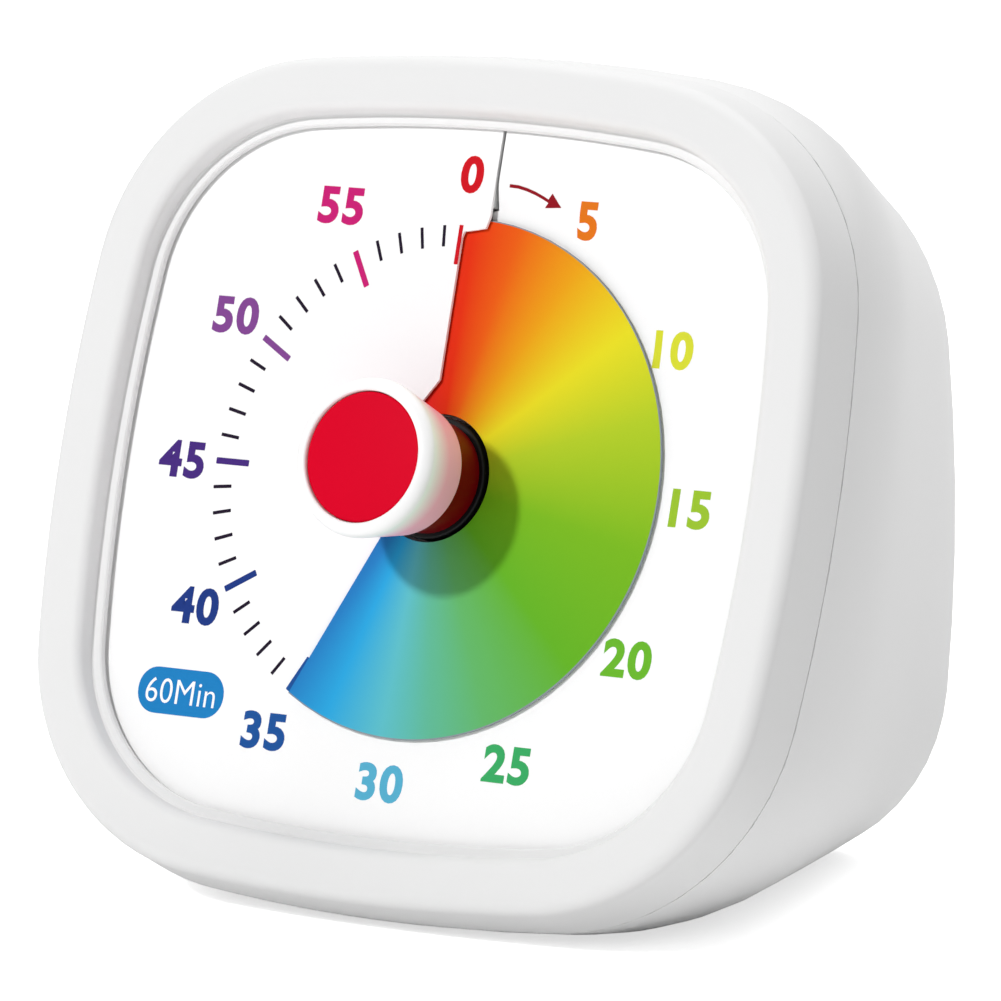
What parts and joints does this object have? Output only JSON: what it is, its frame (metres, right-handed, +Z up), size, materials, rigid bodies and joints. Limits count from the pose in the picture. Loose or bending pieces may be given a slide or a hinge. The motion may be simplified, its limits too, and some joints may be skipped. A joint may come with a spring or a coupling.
{
  "type": "visual countdown timer",
  "caption": "Leaning rounded-square countdown timer whose knob turns a rainbow disc through the slit of a printed minute dial.",
  "frame": {"origin": "centre of the object's bounding box, on the surface that it stands on", "axes": "+Z up, the dial faces -Y and leans back by 17.8 degrees, +X is to the right as the dial is read"},
  "size_m": [0.0858, 0.0596, 0.0804],
  "materials": {
    "shell_white": "fine matte moulded ABS",
    "card_white": "printed matte dial card",
    "disc_print": "satin printed film, conic rainbow from red to blue",
    "inner_white": "plain moulded ABS",
    "drum_black": "black moulded plastic",
    "knob_white": "smooth satin plastic",
    "cap_red": "satin red plastic",
    "stem_red": "dark red plastic",
    "steel": "plain steel",
    "brass": "turned brass",
    "gear_plastic": "natural acetal",
    "magnet": "ground ferrite",
    "copper": "enamelled copper winding",
    "board_green": "glass-fibre board with solder mask",
    "part_black": "moulded component black",
    "can_blue": "sleeved electrolytic capacitor",
    "screw_steel": "zinc-plated steel",
    "cell_wrap": "plain battery sleeve",
    "switch_grey": "moulded switch body",
    "slider_black": "black moulded plastic"
  },
  "bodies": {
    "root": {"front_frame": "shell_white", "rear_shell": "shell_white", "dial_plate": "inner_white", "dial_card": "card_white", "shaft_bush": "brass", "idler_pin": "steel", "motor_coil": "copper", "motor_can": "steel", "alarm_leaf": "brass", "movement_front": "inner_white", "movement_rear": "inner_white", "movement_screws": "screw_steel", "housing_screws": "screw_steel", "circuit_board": "board_green", "board_chip": "part_black", "board_capacitor": "can_blue", "board_screws": "screw_steel", "buzzer": "part_black", "switch_case": "switch_grey", "battery_cell": "cell_wrap", "contact_spring": "steel", "contact_plates": "steel"},
    "knob": {"knob_body": "knob_white", "knob_cap": "cap_red", "knob_stem": "stem_red", "disc_drum": "drum_black", "drive_shaft": "steel", "clutch_spring": "steel", "shaft_clip": "steel"},
    "disc": {"rainbow_disc": "disc_print"},
    "output_wheel": {"output_wheel": "gear_plastic"},
    "idler": {"idler_wheel": "gear_plastic"},
    "motor_rotor": {"motor_rotor": "magnet", "motor_pinion": "brass"},
    "switch_slider": {"switch_slider": "slider_black"},
    "battery_door": {"battery_door": "shell_white"}
  },
  "joints": [
    {"name": "knob_turn", "type": "hinge", "parent": "root", "child": "knob", "pos_m": [0, -0.01728, 0.04254], "axis": [0, 0.9521, -0.3057], "range_deg": [-210, 150]},
    {"name": "disc_climb", "type": "slide", "parent": "knob", "child": "disc", "axis": [0, 0.9521, -0.3057], "range_m": [-0.00042, 0.00059]},
    {"name": "output_turn", "type": "hinge", "parent": "root", "child": "output_wheel", "pos_m": [0, -0.00585, 0.03887], "axis": [0, 0.9521, -0.3057], "continuous": true},
    {"name": "idler_turn", "type": "hinge", "parent": "root", "child": "idler", "pos_m": [0, 0.00236, 0.05136], "axis": [0, 0.9521, -0.3057], "continuous": true},
    {"name": "motor_turn", "type": "hinge", "parent": "root", "child": "motor_rotor", "pos_m": [-0.006, -0.00082, 0.04147], "axis": [0, 0.9521, -0.3057], "continuous": true},
    {"name": "switch_slide", "type": "slide", "parent": "root", "child": "switch_slider", "axis": [1, 0, 0], "range_m": [-0.002, 0.002]},
    {"name": "door_lift", "type": "slide", "parent": "root", "child": "battery_door", "axis": [0, 1, 0], "range_m": [0, 0.015]}
  ],
  "couplings": [
    {"joint": "disc_climb", "follows": "knob_turn", "m_per_rad": -0.00015915},
    {"joint": "idler_turn", "follows": "output_turn", "ratio": -5},
    {"joint": "motor_turn", "follows": "output_turn", "ratio": 20}
  ]
}
